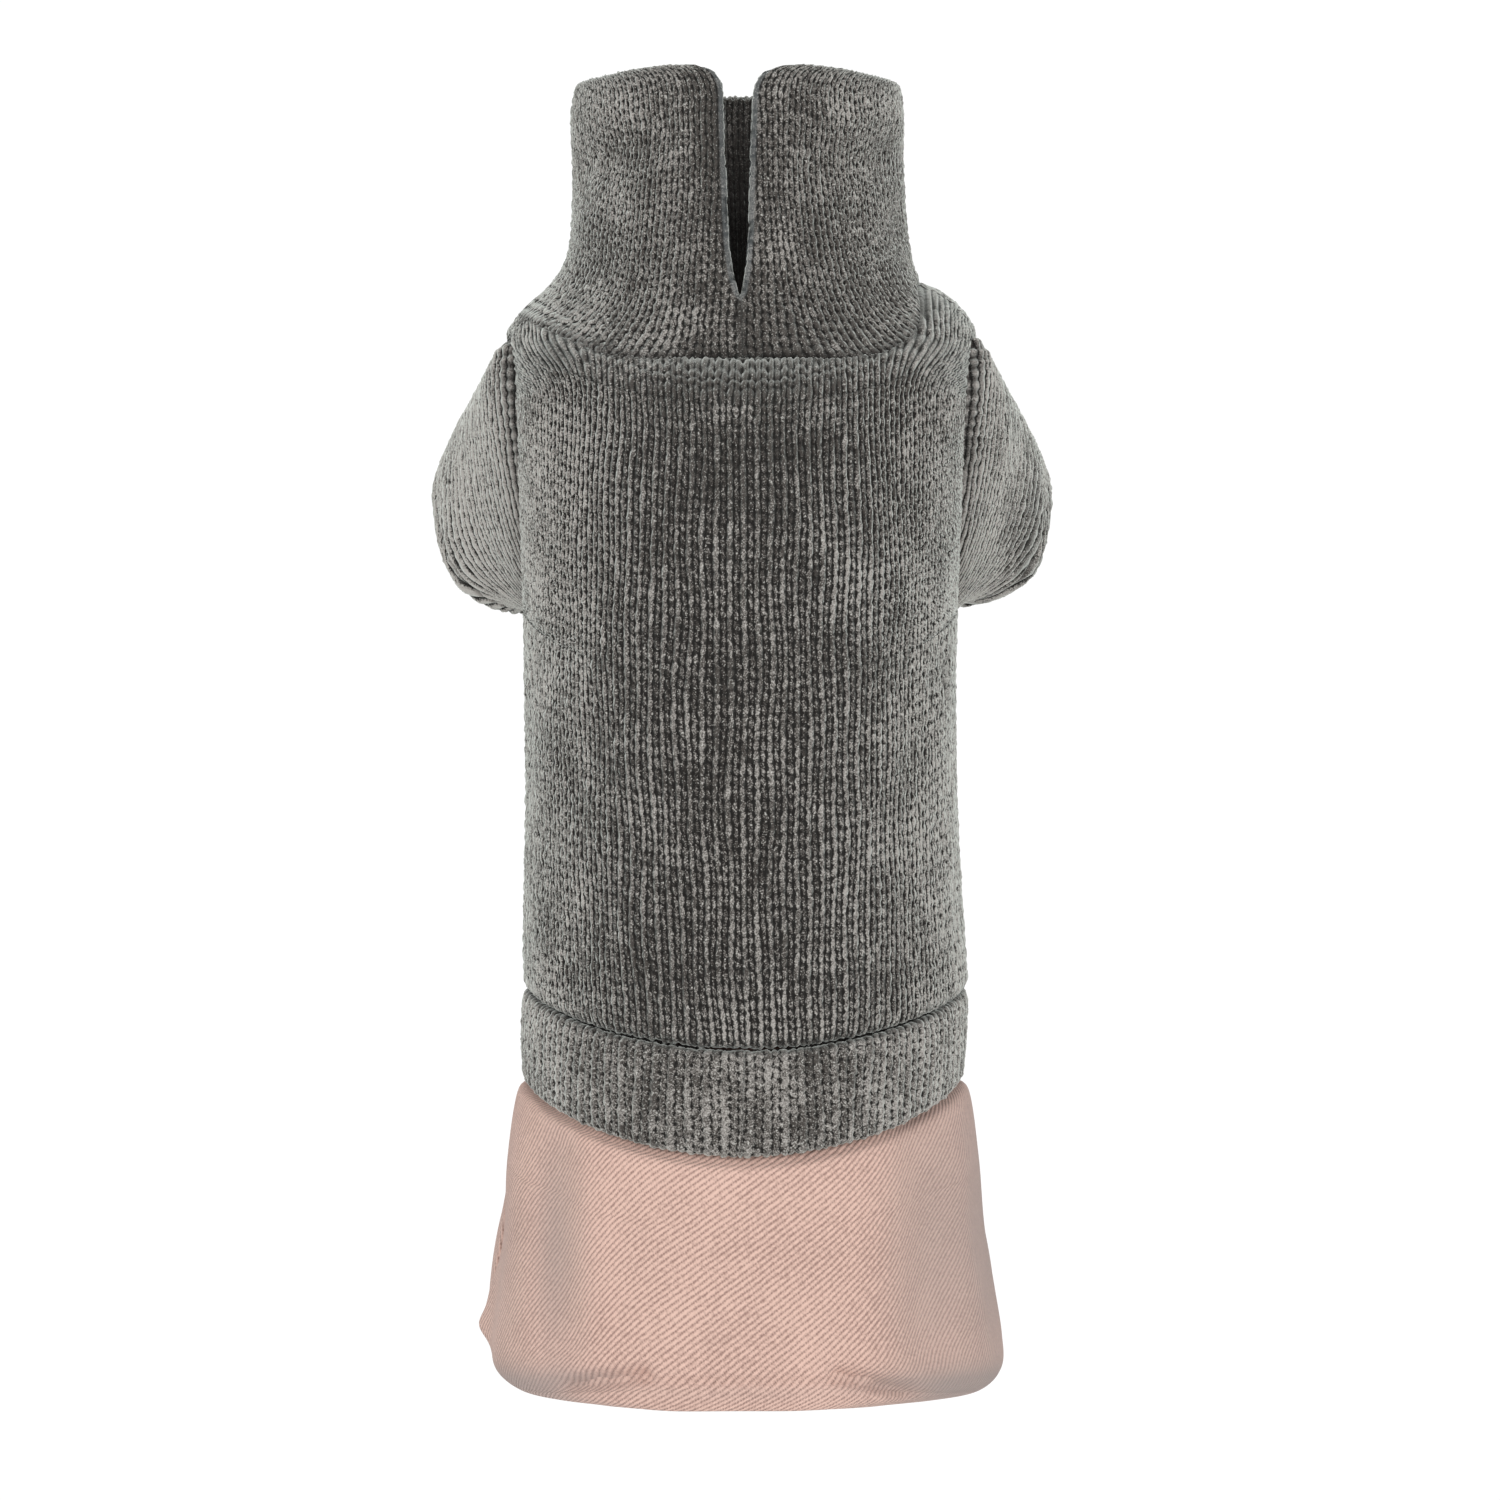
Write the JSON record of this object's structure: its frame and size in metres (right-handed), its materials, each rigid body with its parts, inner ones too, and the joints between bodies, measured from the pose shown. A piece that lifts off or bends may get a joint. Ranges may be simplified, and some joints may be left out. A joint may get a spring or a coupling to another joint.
{
  "type": "dog jumpsuit",
  "caption": "Hollow one-piece suit for a small dog: knit sweater top with a split funnel collar and short sleeves, joined at a folded waist band to twill pants with short legs.",
  "frame": {"origin": "middle of the neck at the foot of the collar, where the wearer's shoulders hold the garment", "axes": "+Z out of the neck along the wearer's back, towards the head; -Y out of the wearer's back; +Y out of its belly; +X to the right of someone who looks at the back"},
  "size_m": [0.1798, 0.1538, 0.3669],
  "materials": {
    "chenille_knit": "soft chenille knit with a velvety pile",
    "pink_twill": "matt cotton twill with diagonal lines"
  },
  "bodies": {
    "root": {"back_panel": "chenille_knit", "belly_panel": "chenille_knit", "collar": "chenille_knit", "sleeve_left": "chenille_knit", "sleeve_right": "chenille_knit", "waist_band": "chenille_knit", "pants_seat": "pink_twill", "pants_belly": "pink_twill", "leg_left": "pink_twill", "leg_right": "pink_twill"}
  },
  "joints": []
}
